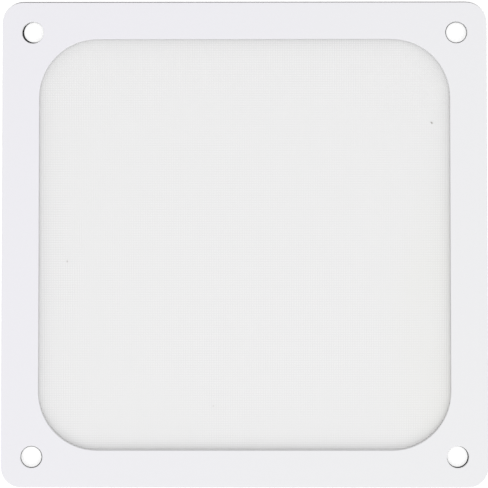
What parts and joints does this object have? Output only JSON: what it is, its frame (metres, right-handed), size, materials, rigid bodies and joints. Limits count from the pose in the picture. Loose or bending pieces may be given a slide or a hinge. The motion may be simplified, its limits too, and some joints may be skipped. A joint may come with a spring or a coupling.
{
  "type": "fan dust filter",
  "caption": "Flat square magnetic dust filter for a case fan: white die-cut frame with corner screw holes, a fine white mesh panel and a black magnet backing.",
  "frame": {"origin": "middle of the magnet's back face, which the filter lies on", "axes": "+Z out of the white front face, +X to the right and +Y to the top of the filter as seen from its front"},
  "size_m": [0.12, 0.1204, 0.0023],
  "materials": {
    "white_vinyl": "satin die-cut PVC sheet",
    "clear_tape": "cut edge of translucent double-sided tape",
    "white_nylon": "fine plain-woven monofilament",
    "magnet_rubber": "matt flexible magnet sheet"
  },
  "bodies": {
    "root": {"front_frame": "white_vinyl", "bond_tape": "clear_tape", "filter_mesh": "white_nylon", "magnet_backing": "magnet_rubber"}
  },
  "joints": []
}
